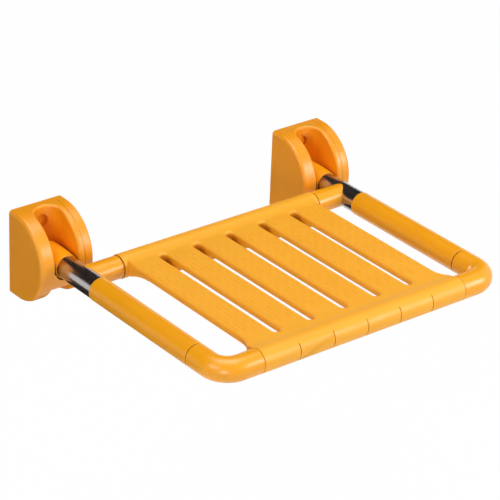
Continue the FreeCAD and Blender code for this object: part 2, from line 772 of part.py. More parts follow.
def tube_along_front(label, reach, half, outer, inner):
    """Straight tube along X between the arms."""
    body = new_body(label, y=-reach)
    ring = new_sketch(body, "TubeRing", "YZ_Plane")
    add_circle(ring, ZERO, ZERO, outer)
    add_circle(ring, ZERO, ZERO, inner)
    pad(body, "TubeWall", ring, half * 2, both=True)
    return body


def saddle(body, name, diameter, centres):
    """Fish-mouth cut that seats a cross member on the round arm tubes."""
    plan = new_sketch(body, name + "Plan", "XZ_Plane")
    for centre in centres:
        add_circle(plan, centre, ZERO, diameter)
    pocket(body, name, plan, both=True)


def cross_collar(side, sign):
    """Cladding of the cross bar end, cut to sit astride the polished tube."""
    start = size.rear_half + size.collar_gap
    long = size.arm_pitch / 2 - size.collar_tip - start
    body = new_body(side + "_cross_collar", y=-size.cross_reach)
    ring = new_sketch(body, "CollarRing", "YZ_Plane", start * sign)
    add_circle(ring, ZERO, ZERO, size.collar_dia)
    add_circle(ring, ZERO, ZERO, size.core_dia + size.clad_gap * 2)
    pad(body, "CollarWall", ring, long, reverse=sign < 0)
    saddle(body, "Saddle", size.hinge_tube_dia + size.clad_gap * 2, [size.arm_pitch / 2 * sign])
    return body


def seat_panel():
    """Slatted moulding with a tube roll along its front and rear edges."""
    body = new_body("seat_panel")
    span = size.slat_pitch * (size.slat_count - 1)
    half = size.seat_half
    inward = size.flare_radius - size.flank_step
    flare_run = (size.flare_radius.squared() - inward.squared()).root()
    flare_y = -size.flare_end + flare_run
    roll = size.clad_dia / 2
    top = size.slat_level

    plan = new_sketch(body, "SeatPlan", "XY_Plane", top)
    add_outline(plan, [
        (-half, -size.cross_reach, "xy", None),
        (-half, flare_y, "xy", (-half - size.flare_radius, flare_y, -1)),
        (-size.front_half, -size.flare_end, "x", None),
        (-size.front_half, -size.seat_reach, "xy", None),
        (size.front_half, -size.seat_reach, "xy", None),
        (size.front_half, -size.flare_end, "xy", (half + size.flare_radius, flare_y, -1)),
        (half, flare_y, "y", None),
        (half, -size.cross_reach, "xy", None),
    ])
    pad(body, "SeatBlank", plan, top + size.haunch_low, reverse=True)

    low = top - size.slat_thick
    drop = low + size.haunch_low
    run = (size.haunch_radius * drop * 2 - drop.squared()).root()
    below = new_sketch(body, "UndersideProfile", "YZ_Plane")
    deep = -size.haunch_low - roll
    front = -size.seat_reach - roll
    add_outline(below, [
        (front, low, "xy", None),
        (front, deep, "xy", None),
        (-size.haunch_start + run, deep, "xy", None),
        (-size.haunch_start + run, -size.haunch_low, "xy",
         (-size.haunch_start, low - size.haunch_radius, 1)),
        (-size.haunch_start, low, "x", None),
    ])
    pocket(body, "Underside", below, both=True)

    web_half = half - size.web_inset
    web = new_sketch(body, "WebPlan", "XY_Plane", -size.web_low)
    add_box(web, -web_half, -size.web_front, web_half, -size.cross_reach)
    pad(body, "RearWeb", web, size.web_low + low)

    rise = roll - top
    blends = []
    for name, axis_y, run_out, wide, heading in (
            ("RearBlend", -size.cross_reach, size.blend_run, half, 1),
            ("FrontBlend", -size.seat_reach, size.flare_gap, size.front_half, -1)):
        hollow_radius = (run_out.squared() + top.squared() - roll.squared()) / (rise * 2)
        span_out = hollow_radius + roll
        toe = axis_y - run_out * heading
        profile = new_sketch(body, name + "Profile", "YZ_Plane")
        add_outline(profile, [
            (axis_y, ZERO, "xy", None),
            (axis_y - roll * run_out / span_out * heading, roll * (top + hollow_radius) / span_out, "xy",
             (toe, top + hollow_radius, -heading)),
            (toe, top, "x", None),
        ])
        pad(body, name, profile, wide * 2, both=True)
        blends.append((axis_y.value, heading, run_out.value, hollow_radius.value))

    def top_at(y):
        for axis_y, heading, run_out, radius in blends:
            along = (axis_y - y) * heading
            if 0 <= along < run_out:
                return top.value + radius - math.sqrt(radius ** 2 - (run_out - along) ** 2)
        return top.value

    slot = new_sketch(body, "SlotPlan", "XY_Plane", roll)
    first_x = -size.slat_pitch * (size.slat_count / 2 - 1)
    reach = size.slot_wide / 2
    add_outline(slot, [
        (first_x - reach, -size.slot_rear - reach, "y", None),
        (first_x - reach, -size.slot_front + reach, "xy", (first_x, -size.slot_front + reach, 1)),
        (first_x + reach, -size.slot_front + reach, "y", None),
        (first_x + reach, -size.slot_rear - reach, "xy", (first_x, -size.slot_rear - reach, 1)),
    ])
    cut = pocket(body, "Slot", slot)
    repeat(body, "Slots", cut, slot, size.slat_pitch * (size.slat_count - 2), size.slat_count - 1)

    def upper_edge(edge):
        ends = samples(edge)
        on_top = all(abs(p.z - top_at(p.y)) < TOL for p in ends)
        across = all(abs(p.y - ends[0].y) < TOL for p in ends)
        at_front = all(p.y < -size.flare_end.value + TOL for p in ends)
        return on_top and not across and not at_front

    dress(body, "Fillet", "SlatEdges", upper_edge, "Radius", size.slat_edge)

    floor = new_sketch(body, "SlotFloorPlan", "XY_Plane", -size.web_low)
    add_box(floor, -web_half, -size.web_front, web_half, -size.cross_reach)
    pad(body, "SlotFloor", floor, size.web_low - size.slot_floor)

    room = size.slat_pitch - size.slot_wide - size.slat_flank * 2 - size.slat_rib
    hollow = new_sketch(body, "PocketPlan", "XY_Plane", low)
    slat_x = -span / 2
    for low_x in (slat_x - size.slat_rib / 2 - room / 2, slat_x + size.slat_rib / 2):
        add_box(hollow, low_x, -size.pocket_front, low_x + room / 2, -size.pocket_rear)
    core = pocket(body, "MouldPocket", hollow, size.slat_thick - size.slat_skin, reverse=True)
    repeat(body, "MouldPockets", core, hollow, span, size.slat_count)

    for name, reach, half_long in (
            ("FrontRoll", size.seat_reach, size.front_half),
            ("RearRoll", size.cross_reach, size.rear_half)):
        disc = new_sketch(body, name + "Disc", "YZ_Plane")
        add_circle(disc, -reach, ZERO, size.clad_dia)
        pad(body, name, disc, half_long * 2, both=True)
    bores = new_sketch(body, "TubeBores", "YZ_Plane")
    for reach in (size.seat_reach, size.cross_reach):
        add_circle(bores, -reach, ZERO, size.core_dia + size.clad_gap * 2)
    pocket(body, "TubeRoom", bores, both=True)

    angle = math.radians(size.groove_start.value)
    inner = roll - size.groove_deep
    outer = roll + size.groove_deep
    sine = Dim(math.sin(angle), "sin(Sizes.groove_start * 1deg)")
    cosine = Dim(math.cos(angle), "cos(Sizes.groove_start * 1deg)")
    centre = -size.seat_reach
    ring = new_sketch(body, "GrooveProfile", "YZ_Plane", first_x)
    add_outline(ring, [
        (centre - outer * sine, outer * cosine, "xy", (centre, ZERO, 1)),
        (centre, -outer, "x", None),
        (centre, -inner, "xy", (centre, ZERO, -1)),
        (centre - inner * sine, inner * cosine, "x", None),
    ])
    fine = pocket(body, "Groove", ring, size.groove_wide, both=True)
    row = new_sketch(body, "GrooveRow", "XY_Plane")
    add_circle(row, ZERO, centre, size.groove_wide)
    row.Visibility = False
    repeat(body, "Grooves", fine, row, size.slat_pitch * (size.slat_count - 2), size.slat_count - 1)

    for name, depth, diameter in (
            ("FixHoles", roll, size.fix_dia + size.fix_gap * 2),
            ("FixHeads", size.fix_sink, size.fix_head_dia + size.fix_gap * 2)):
        holes = new_sketch(body, name + "Plan", "XY_Plane", -roll - size.fix_sink)
        for x, y in fixing_points():
            add_circle(holes, x, y, diameter)
        pocket(body, name, holes, depth + size.fix_sink, reverse=True)
    return body


def fixing_points():
    """Places of the seat screws, under the second slat from each flank on both rolls."""
    points = []
    for x in (-size.fix_out, size.fix_out):
        for reach in (size.seat_reach, size.cross_reach):
            points.append((x, -reach))
    return points


def drill_for_screws(body, reach):
    """Screw holes in the underside of a cross tube."""
    plan = new_sketch(body, "FixPlan", "XY_Plane", -size.clad_dia)
    for x in (-size.fix_out, size.fix_out):
        add_circle(plan, x, ZERO, size.fix_dia + size.fix_gap * 2)
    pocket(body, "FixHoles", plan, size.clad_dia, reverse=True)


def fixing_screw(label, x, y):
    """Pan-head screw driven up through a roll into its tube."""
    body = new_body(label, x=x, y=y, z=-size.clad_dia / 2 + size.fix_sink)
    radius = size.fix_dia / 2
    head = size.fix_head_dia / 2
    profile = new_sketch(body, "ScrewProfile", "XZ_Plane")
    add_outline(profile, [
        (ZERO, -size.fix_head_high, "xy", None),
        (head - radius / 2, -size.fix_head_high, "xy", None),
        (head, -size.fix_head_high / 2, "xy", None),
        (head, ZERO, "xy", None),
        (radius, ZERO, "xy", None),
        (radius, size.fix_long - size.fix_dia, "xy", None),
        (ZERO, size.fix_long, "xy", None),
    ])
    turn(body, "ScrewTurned", profile, "V_Axis")
    return body


pins = []
caps = []
washers = []
bushes = []
locks = []
for side, sign in SIDES:
    axis = size.arm_pitch / 2 * sign
    nodes.append(bracket_body(side, sign))
    nodes.append(bracket_cover(side, sign))
    nodes.append(arm_rest(side, sign))
    nodes.append(hinge_knuckle(side, sign))
    pins.append(hinge_pin(side, sign))
    locks.append(lock_pin(side, sign))
    for level, rise in (("upper", size.hole_rise), ("lower", -size.hole_rise)):
        caps.append(screw_cap("%s_%s_cap" % (side, level), axis, rise))
    for place, start in (("inner", size.washer_x - size.washer_thick), ("outer", -size.washer_x)):
        washers.append(ring_on_pin(
            "%s_%s_washer" % (side, place), axis, start, size.washer_thick,
            size.washer_dia, size.pin_dia + size.washer_gap * 2))
    face_x = size.face_half - size.washer_gap
    for place, start in (("inner", face_x - size.bush_long), ("outer", -face_x)):
        bushes.append(ring_on_pin(
            "%s_%s_bush" % (side, place), axis, start, size.bush_long,
            size.bush_dia, size.pin_dia + size.run_gap * 2))
    core_bore = size.core_dia - size.core_wall * 2
    core_room = size.core_dia + size.clad_gap * 2
    nodes.append(tube_along_arm(
        side + "_hinge_tube", axis, size.socket_reach, size.hinge_tube_end,
        size.hinge_tube_dia, core_room, True, False))
    nodes.append(tube_along_arm(
        side + "_arm_tube", axis, size.socket_reach, size.sleeve_end,
        size.core_dia, core_bore, True, False))
    nodes.append(tube_along_arm(
        side + "_arm_sleeve", axis, size.hinge_tube_end + size.clad_gap,
        size.sleeve_end - size.joint_gap / 2, size.clad_dia, core_room, False, True))
    nodes.append(corner_elbow(side, sign))
    nodes.append(cross_collar(side, sign))

front_tube = tube_along_front("front_tube", size.seat_reach, size.front_half, size.core_dia, core_bore)
drill_for_screws(front_tube, size.seat_reach)
nodes.append(front_tube)
cross_tube = tube_along_front("rear_cross_tube", size.cross_reach, size.arm_pitch / 2, size.core_dia, core_bore)
saddle(cross_tube, "Saddle", size.hinge_tube_dia + size.clad_gap * 2,
       [-size.arm_pitch / 2, size.arm_pitch / 2])
drill_for_screws(cross_tube, size.cross_reach)
nodes.append(cross_tube)
nodes.append(seat_panel())

screws = []
for index, (x, y) in enumerate(fixing_points(), start=1):
    screws.append(fixing_screw("seat_screw_%d" % index, x, y))

nodes.append(group("hinge_pins", pins))
nodes.append(group("screw_caps", caps))
nodes.append(group("hinge_washers", washers))
nodes.append(group("hinge_bushes", bushes))
nodes.append(group("lock_pins", locks))
nodes.append(group("seat_screws", screws))
doc.recompute()

for obj in doc.Objects:
    if "Invalid" in obj.State or "Error" in obj.State:
        raise RuntimeError("bad object " + obj.Label)
for node in nodes:
    if node.Shape.isNull() or not node.Shape.isValid():
        raise RuntimeError("bad shape " + node.Label)

os.makedirs("parts", exist_ok=True)
for node in nodes:
    node.Shape.exportStep("parts/%s.step" % node.Label)
    print("%-22s solids %d volume %.0f" % (node.Label, len(node.Shape.Solids), node.Shape.Volume))
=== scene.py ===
# %% [markdown]
# # A fold-up shower seat for the bathroom wall
#
# Two moulded brackets are screwed to the wall. A tube frame clad in yellow nylon turns on a hinge pin
# in each of them, and a slatted moulding between the two arms makes the seat. The solids arrive
# packed from the CAD model, at their true place and size in metres. They are not touched here: this
# script adds the camera, the light, the finishes and the fine grip pattern that is too small for the
# solids.

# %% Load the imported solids
import json
import math

import bmesh
import bpy
from mathutils import Matrix, Vector


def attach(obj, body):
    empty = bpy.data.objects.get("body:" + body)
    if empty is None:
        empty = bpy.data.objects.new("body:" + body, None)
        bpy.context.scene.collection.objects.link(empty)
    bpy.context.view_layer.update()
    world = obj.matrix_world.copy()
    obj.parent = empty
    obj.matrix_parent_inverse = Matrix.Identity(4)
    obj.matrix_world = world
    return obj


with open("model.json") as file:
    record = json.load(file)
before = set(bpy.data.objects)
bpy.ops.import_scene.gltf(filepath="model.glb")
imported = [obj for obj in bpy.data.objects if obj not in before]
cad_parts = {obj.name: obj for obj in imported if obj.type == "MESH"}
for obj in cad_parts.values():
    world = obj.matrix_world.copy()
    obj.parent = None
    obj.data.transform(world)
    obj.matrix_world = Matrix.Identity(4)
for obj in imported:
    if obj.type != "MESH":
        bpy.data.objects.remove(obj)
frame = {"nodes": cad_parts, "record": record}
nodes = frame["nodes"]
scene = bpy.context.scene
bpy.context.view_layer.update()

# %% [markdown]
# ## The camera
#
# The photograph was taken from the left of the seat and from above, with a long lens, so lines that
# are parallel on the object stay almost parallel in the picture. A camera could be placed with three
# angles, but an eye point and a point to look at are easier to read. The small roll is the slight
# tilt of the picture.

# %% Camera at the photograph's angle
eye = Vector((-2.0031, -2.6487, 1.6687))
aim = Vector((-0.0006, -0.1887, 0.0075))
roll = math.radians(2.32)
film_width = 36.0
focal_length = 186.26

lens = bpy.data.cameras.new("photo_camera")
lens.sensor_width = film_width
lens.lens = focal_length
camera = bpy.data.objects.new("photo_camera", lens)
scene.collection.objects.link(camera)
facing = (aim - eye).to_track_quat("-Z", "Y").to_matrix().to_4x4()
camera.matrix_world = Matrix.Translation(eye) @ facing @ Matrix.Rotation(roll, 4, "Z")
scene.camera = camera
scene.view_settings.view_transform = "Standard"
print("camera distance:", round((aim - eye).length, 3), "m")

# %% [markdown]
# ## Floor of the studio
#
# The seat hangs at sitting height, 45 cm above a white floor, so its shadow falls low and soft. A
# curved backdrop would do as well, but a wide flat floor is one face, and the air behind it can be
# given the same white.

# %% White floor
floor_level = -0.45
floor_half = 12.0

floor_mesh = bpy.data.meshes.new("studio_floor")
shape = bmesh.new()
bmesh.ops.create_grid(shape, x_segments=1, y_segments=1, size=floor_half)
bmesh.ops.translate(shape, verts=shape.verts, vec=(0.0, 0.0, floor_level))
shape.to_mesh(floor_mesh)
shape.free()
floor = bpy.data.objects.new("studio_floor", floor_mesh)
scene.collection.objects.link(floor)
print("floor at", floor_level, "m")

# %% [markdown]
# ## White paper and white air
#
# More lamp light would make the ground white too, but it would bleach the yellow. The floor therefore
# is an ordinary matt white for the light that bounces about, and mostly plain white where the camera
# or a reflection looks at it. A small share of the matt shader stays in, so that the shadow is kept.
# The air is treated alike: a faint soft light for the object, and plain white to look at. The Light
# Path node tells the two kinds of rays apart.

# %% Which rays look straight at a surface
def larger(tree, first, second):
    node = tree.nodes.new("ShaderNodeMath")
    node.operation = "MAXIMUM"
    tree.links.new(first, node.inputs[0])
    tree.links.new(second, node.inputs[1])
    return node.outputs[0]


def seen_directly(tree):
    """1 for rays from the camera and for reflections and refractions, 0 for bounced light."""
    path = tree.nodes.new("ShaderNodeLightPath")
    mirrored = larger(tree, path.outputs["Is Glossy Ray"], path.outputs["Is Transmission Ray"])
    return larger(tree, path.outputs["Is Camera Ray"], mirrored)


print("ray test ready")

# %% Nodes with their inputs, and a blend of two shaders
def add_node(tree, kind, label, **inputs):
    node = tree.nodes.new(kind)
    node.name = label
    node.label = label
    for name, value in inputs.items():
        node.inputs[name.replace("_", " ")].default_value = value
    return node


def blend_shaders(tree, share, first, second, output_kind):
    """Shows the first shader where share is 0 and the second where it is 1."""
    mix = tree.nodes.new("ShaderNodeMixShader")
    out = tree.nodes.new(output_kind)
    tree.links.new(share, mix.inputs[0])
    tree.links.new(first.outputs[0], mix.inputs[1])
    tree.links.new(second.outputs[0], mix.inputs[2])
    tree.links.new(mix.outputs[0], out.inputs[0])


print("shader blend ready")

# %% Paper of the floor
plain_white = (1.0, 1.0, 1.0, 1.0)
matt_white = (0.8, 0.8, 0.8, 1.0)
plain_share = 0.985

paper = bpy.data.materials.new("white_paper")
paper.use_nodes = True
tree = paper.node_tree
tree.nodes.clear()
matt = add_node(tree, "ShaderNodeBsdfDiffuse", "matt white", Color=matt_white)
plain = add_node(tree, "ShaderNodeEmission", "plain white", Color=plain_white, Strength=1.0)
share = tree.nodes.new("ShaderNodeMath")
share.operation = "MULTIPLY"
share.inputs[1].default_value = plain_share
tree.links.new(seen_directly(tree), share.inputs[0])
blend_shaders(tree, share.outputs[0], matt, plain, "ShaderNodeOutputMaterial")
floor_mesh.materials.append(paper)
print("plain share of the floor:", plain_share)

# %% Air round the object
sky_level = 0.07

air = bpy.data.worlds.new("studio_air")
scene.world = air
air.use_nodes = True
tree = air.node_tree
tree.nodes.clear()
soft = add_node(tree, "ShaderNodeBackground", "soft light", Color=plain_white, Strength=sky_level)
ground = add_node(tree, "ShaderNodeBackground", "white ground", Color=plain_white, Strength=1.0)
blend_shaders(tree, seen_directly(tree), soft, ground, "ShaderNodeOutputWorld")
print("air lights at", sky_level)

# %% [markdown]
# ## Lamps
#
# In the photograph the seat and the front bar are the brightest, and the left cheeks of the brackets
# are clearly darker. Small lamps would give hard shadows, so all lamps are soft boxes. The main one
# hangs above the seat. The second stands in front on the right: it draws the long pale streak along
# the front bar. A weaker box on the left and a low one in front light the cheeks and the round
# fronts, and a low one behind keeps the wall side from going dark.

# %% Soft boxes
def soft_box(name, place, target, wide, high, watts):
    lamp = bpy.data.lights.new(name, "AREA")
    lamp.shape = "RECTANGLE"
    lamp.size = wide
    lamp.size_y = high
    lamp.energy = watts
    lamp_object = bpy.data.objects.new(name, lamp)
    scene.collection.objects.link(lamp_object)
    turn = (Vector(target) - Vector(place)).to_track_quat("-Z", "Y").to_matrix().to_4x4()
    lamp_object.matrix_world = Matrix.Translation(place) @ turn


seat_middle = (0.0, -0.2, 0.0)
left_arm = (-0.23, -0.35, 0.0)
soft_box("top_box", (0.05, -0.25, 1.9), seat_middle, wide=1.4, high=1.4, watts=26.0)
soft_box("front_box", (1.05, -1.55, 0.6), seat_middle, wide=0.9, high=0.7, watts=18.0)
soft_box("left_box", (-1.75, -0.6, 1.0), seat_middle, wide=0.8, high=0.8, watts=10.0)
soft_box("low_box", (-1.3, -1.5, 0.1), left_arm, wide=0.6, high=0.5, watts=8.0)
soft_box("back_box", (-0.25, 1.9, 0.3), seat_middle, wide=0.7, high=0.7, watts=14.0)

# %% [markdown]
# ## Dark cards for the polished tubes
#
# A polished tube shows nothing of its own, only what stands round it. In an all-white room it would
# look like white plastic. A photographer gives it contrast with dark cards outside the picture. The
# tall card behind has a window low on the left and a low corner cut out on the right. The white
# ground shows through both of them, as a pale rim and a pale band along the tubes. The cards are
# hidden from everything but reflections, so they neither shade the object nor show in a view.

# %% How a card is made
velvet_black = (0.012, 0.009, 0.008, 1.0)

velvet = bpy.data.materials.new("dark_card")
velvet.use_nodes = True
velvet_surface = velvet.node_tree.nodes["Principled BSDF"]
velvet_surface.inputs["Base Color"].default_value = velvet_black
velvet_surface.inputs["Roughness"].default_value = 1.0


def dark_card(name, corners):
    mesh = bpy.data.meshes.new(name)
    shape = bmesh.new()
    shape.faces.new([shape.verts.new(c) for c in corners])
    shape.to_mesh(mesh)
    shape.free()
    mesh.materials.append(velvet)
    card = bpy.data.objects.new(name, mesh)
    scene.collection.objects.link(card)
    card.visible_camera = False
    card.visible_diffuse = False
    card.visible_transmission = False
    card.visible_shadow = False
    return card


print("card material:", velvet.name)

# %% Cards
card_y = 2.0
card_left, card_right = -6.0, 5.0
card_foot, card_top = -0.1, 6.0
window_left, window_right = -3.4, -1.2
cut_left = 1.3
light_top = 0.8
outline = [
    (window_right, card_foot), (cut_left, card_foot), (cut_left, light_top), (card_right, light_top),
    (card_right, card_top), (card_left, card_top), (card_left, card_foot),
    (window_left, card_foot), (window_left, light_top), (window_right, light_top),
]
behind = dark_card("card_behind", [(x, card_y, z) for x, z in outline])

card_lift = 0.01
low_card_z = floor_level + card_lift
low_left, low_right = -1.15, 0.1
low_front, low_rear = 0.05, 1.6
below = dark_card("card_below", [
    (low_left, low_front, low_card_z), (low_right, low_front, low_card_z),
    (low_right, low_rear, low_card_z), (low_left, low_rear, low_card_z)])
print("cards:", behind.name, below.name)

# %% [markdown]
# ## Moulded nylon
#
# The brackets, sleeves, elbows and the seat are injection moulded. Close up such a skin is never dead
# flat: it has a faint pebble from the tool, a little more or less gloss from place to place, and soft
# clouds in its colour where the melt flowed. Pictures of real skins could be wrapped round the
# pieces, but noise needs no unwrapping and has no seams. The three effects are one node group, used
# by all the plastics with different strengths. Object coordinates are in metres, so a scale of 900 is
# a pebble of about a millimetre.

# %% Making and joining node groups
def new_group(name, inputs, outputs):
    group = bpy.data.node_groups.new(name, "ShaderNodeTree")
    for title, kind, value in inputs:
        socket = group.interface.new_socket(title, in_out="INPUT", socket_type=kind)
        socket.default_value = value
    for title, kind in outputs:
        group.interface.new_socket(title, in_out="OUTPUT", socket_type=kind)
    return group


def wire(tree, source, output, target, name):
    tree.links.new(source.outputs[output], target.inputs[name])


def place_group(tree, group_tree, settings):
    group = tree.nodes.new("ShaderNodeGroup")
    group.node_tree = group_tree
    for title, value in settings.items():
        group.inputs[title].default_value = value
    return group


print("group helpers ready")

# %% Colour and gloss inside a group
# A mix node has a set of sockets for each kind of value. Those for colours go by number.
COLOUR_A, COLOUR_B, COLOUR_RESULT = 6, 7, 2
noise_low, noise_high = 0.3, 0.7


def blend_colours(group, share, first, second, end):
    """Puts out the first colour where share is 0 and the second where it is 1."""
    mix = group.nodes.new("ShaderNodeMix")
    mix.data_type = "RGBA"
    group.links.new(share, mix.inputs["Factor"])
    group.links.new(first, mix.inputs[COLOUR_A])
    group.links.new(second, mix.inputs[COLOUR_B])
    group.links.new(mix.outputs[COLOUR_RESULT], end.inputs["Colour"])


def noise_to_gloss(group, noise, start, end):
    """Spreads the usual range of a noise between the two gloss inputs of the group."""
    span = add_node(group, "ShaderNodeMapRange", "gloss range", From_Min=noise_low, From_Max=noise_high)
    wire(group, noise, "Fac", span, "Value")
    wire(group, start, "Gloss Low", span, "To Min")
    wire(group, start, "Gloss High", span, "To Max")
    wire(group, span, "Result", end, "Roughness")


print("noise counts from", noise_low, "to", noise_high)

# %% Group: moulded skin
surface_outputs = [
    ("Colour", "NodeSocketColor"), ("Roughness", "NodeSocketFloat"), ("Height", "NodeSocketFloat")]

skin = new_group(
    "moulded_skin",
    [("Deep Colour", "NodeSocketColor", (0.85, 0.3, 0.01, 1.0)),
     ("Bright Colour", "NodeSocketColor", (0.95, 0.4, 0.02, 1.0)),
     ("Pebble Scale", "NodeSocketFloat", 900.0),
     ("Gloss Low", "NodeSocketFloat", 0.3),
     ("Gloss High", "NodeSocketFloat", 0.4)],
    surface_outputs)
start = skin.nodes.new("NodeGroupInput")
end = skin.nodes.new("NodeGroupOutput")
place = skin.nodes.new("ShaderNodeTexCoord")

clouds = add_node(skin, "ShaderNodeTexNoise", "flow clouds", Scale=16.0, Detail=3.0, Roughness=0.5)
gloss = add_node(skin, "ShaderNodeTexNoise", "gloss patches", Scale=55.0, Detail=2.0, Roughness=0.5)
pebble = add_node(skin, "ShaderNodeTexNoise", "tool pebble", Detail=1.0, Roughness=0.4)
for noise in (clouds, gloss, pebble):
    wire(skin, place, "Object", noise, "Vector")

blend_colours(
    skin, clouds.outputs["Fac"], start.outputs["Deep Colour"], start.outputs["Bright Colour"], end)
noise_to_gloss(skin, gloss, start, end)
wire(skin, start, "Pebble Scale", pebble, "Scale")
wire(skin, pebble, "Fac", end, "Height")
print("group:", skin.name, len(skin.nodes), "nodes")

# %% A material from a group
def group_material(name, group_tree, settings, relief, strength, depth):
    """A material whose colour, roughness and relief come from a node group."""
    material = bpy.data.materials.new(name)
    material.use_nodes = True
    tree = material.node_tree
    surface = tree.nodes["Principled BSDF"]
    group = place_group(tree, group_tree, settings)
    bump = add_node(tree, "ShaderNodeBump", relief, Strength=strength, Distance=depth)
    wire(tree, group, "Colour", surface, "Base Color")
    wire(tree, group, "Roughness", surface, "Roughness")
    wire(tree, group, "Height", bump, "Height")
    wire(tree, bump, "Normal", surface, "Normal")
    return material


print("material maker ready")

# %% Yellow plastics
nylon_ior = 1.5
coat_roughness = 0.14
pebble_strength = 0.5


def moulded_plastic(name, deep, bright, pebble_scale, gloss, depth, coat):
    settings = {
        "Deep Colour": deep, "Bright Colour": bright, "Pebble Scale": pebble_scale,
        "Gloss Low": gloss[0], "Gloss High": gloss[1],
    }
    material = group_material(name, skin, settings, "pebble relief", pebble_strength, depth)
    surface = material.node_tree.nodes["Principled BSDF"]
    surface.inputs["IOR"].default_value = nylon_ior
    surface.inputs["Coat Weight"].default_value = coat
    surface.inputs["Coat Roughness"].default_value = coat_roughness
    return material


yellow_nylon = moulded_plastic(
    "yellow_nylon", deep=(0.89, 0.345, 0.003, 1.0), bright=(0.95, 0.39, 0.004, 1.0),
    pebble_scale=900.0, gloss=(0.28, 0.36), depth=0.00004, coat=0.07)
bracket_nylon = moulded_plastic(
    "bracket_nylon", deep=(0.86, 0.305, 0.005, 1.0), bright=(0.91, 0.345, 0.008, 1.0),
    pebble_scale=900.0, gloss=(0.30, 0.38), depth=0.00004, coat=0.05)
yellow_seat = moulded_plastic(
    "yellow_seat", deep=(0.90, 0.385, 0.014, 1.0), bright=(0.96, 0.435, 0.020, 1.0),
    pebble_scale=1100.0, gloss=(0.44, 0.54), depth=0.00006, coat=0.04)
print("plastics:", yellow_nylon.name, bracket_nylon.name, yellow_seat.name)

# %% [markdown]
# ## Painted shade in narrow places
#
# Hardly any light leaves a narrow groove, so the closed rear ends of the slots, the joints and the gap
# round the knuckle look like brown lines. Dark strips could be laid into them, but they would be pieces
# that the object lacks. Instead the shade is painted into the colour: the material measures how closed
# in a point is, and a node group draws the yellow towards a dark shade colour there. The seat only
# looks at itself. The nylon also looks at its neighbours, for the joints.

# %% Group: painted shade of narrow places
# Painted shade: the group draws a colour towards a dark shade colour where the surface is closed in.
depths = new_group(
    "painted_crevice_shade",
    [("Yellow", "NodeSocketColor", (0.9, 0.36, 0.01, 1.0)),
     ("Painted Shade", "NodeSocketColor", (0.22, 0.05, 0.002, 1.0)),
     ("Open Air", "NodeSocketFloat", 1.0),
     ("Closed", "NodeSocketFloat", 0.1),
     ("Clear", "NodeSocketFloat", 0.5)],
    [("Colour", "NodeSocketColor")])
start = depths.nodes.new("NodeGroupInput")
end = depths.nodes.new("NodeGroupOutput")
openness = add_node(depths, "ShaderNodeMapRange", "openness")
wire(depths, start, "Open Air", openness, "Value")
wire(depths, start, "Closed", openness, "From Min")
wire(depths, start, "Clear", openness, "From Max")
blend_colours(
    depths, openness.outputs["Result"], start.outputs["Painted Shade"], start.outputs["Yellow"], end)
print("group:", depths.name, len(depths.nodes), "nodes")

# %% Yellow plastics with painted shade in narrow places
# The two dark colours below are painted shade for the slot ends and for the joints and gaps.
mask_rays = 16
slot_painted_shade = (0.30, 0.075, 0.003, 1.0)
joint_painted_shade = (0.22, 0.05, 0.002, 1.0)


# Paints shade into the base colour: an ambient occlusion node finds the closed-in places and the group
# darkens the yellow there.
def paint_crevice_shade(material, reach, painted_shade, closed, clear, local):
    tree = material.node_tree
    surface = tree.nodes["Principled BSDF"]
    yellow = surface.inputs["Base Color"].links[0].from_socket
    narrow = add_node(tree, "ShaderNodeAmbientOcclusion", "narrow places", Distance=reach)
    narrow.samples = mask_rays
    narrow.only_local = local
    group = place_group(tree, depths, {"Painted Shade": painted_shade, "Closed": closed, "Clear": clear})
    tree.links.new(yellow, group.inputs["Yellow"])
    wire(tree, narrow, "AO", group, "Open Air")
    wire(tree, group, "Colour", surface, "Base Color")


paint_crevice_shade(yellow_seat, reach=0.018, painted_shade=slot_painted_shade, closed=0.14, clear=0.5, local=True)
for nylon in (yellow_nylon, bracket_nylon):
    paint_crevice_shade(nylon, reach=0.006, painted_shade=joint_painted_shade, closed=0.1, clear=0.5, local=False)
print("plastics with brown depths:", yellow_seat.name, yellow_nylon.name, bracket_nylon.name)

# %% [markdown]
# ## Steel and bearing plastic
#
# The bare tubes at the hinges are polished on a wheel: a mirror with very fine lines round the tube.
# Lines cut into the mesh would cost a great many faces, so noise makes them: very fine along Y and
# long across it. They draw each reflection out into a band along the tube, as in the photograph. The
# core tubes, pins and screws are steel with an even grain, made darker than bare steel: where the core
# tube shows in a joint gap, its dark colour is painted shade. The washers and bushes at the hinge are
# a pale, dry bearing plastic.

# %% Group: fine lines
lines = new_group(
    "drawn_lines",
    [("Stretch", "NodeSocketVector", (6.0, 1000.0, 6.0)),
     ("Dark Tone", "NodeSocketColor", (0.5, 0.48, 0.46, 1.0)),
     ("Light Tone", "NodeSocketColor", (0.7, 0.68, 0.66, 1.0)),
     ("Gloss Low", "NodeSocketFloat", 0.1),
     ("Gloss High", "NodeSocketFloat", 0.2)],
    surface_outputs)
start = lines.nodes.new("NodeGroupInput")
end = lines.nodes.new("NodeGroupOutput")
place = lines.nodes.new("ShaderNodeTexCoord")
mapping = lines.nodes.new("ShaderNodeMapping")
wire(lines, place, "Object", mapping, "Vector")
wire(lines, start, "Stretch", mapping, "Scale")
grain = add_node(lines, "ShaderNodeTexNoise", "drawing lines", Scale=1.0, Detail=3.0, Roughness=0.6)
wire(lines, mapping, "Vector", grain, "Vector")
blend_colours(
    lines, grain.outputs["Fac"], start.outputs["Dark Tone"], start.outputs["Light Tone"], end)
noise_to_gloss(lines, grain, start, end)
wire(lines, grain, "Fac", end, "Height")
print("group:", lines.name, len(lines.nodes), "nodes")

# %% Metals
line_strength = 0.3


def drawn_metal(name, stretch, dark, light, gloss, depth):
    settings = {
        "Stretch": stretch, "Dark Tone": dark, "Light Tone": light,
        "Gloss Low": gloss[0], "Gloss High": gloss[1],
    }
    material = group_material(name, lines, settings, "line relief", line_strength, depth)
    material.node_tree.nodes["Principled BSDF"].inputs["Metallic"].default_value = 1.0
    return material


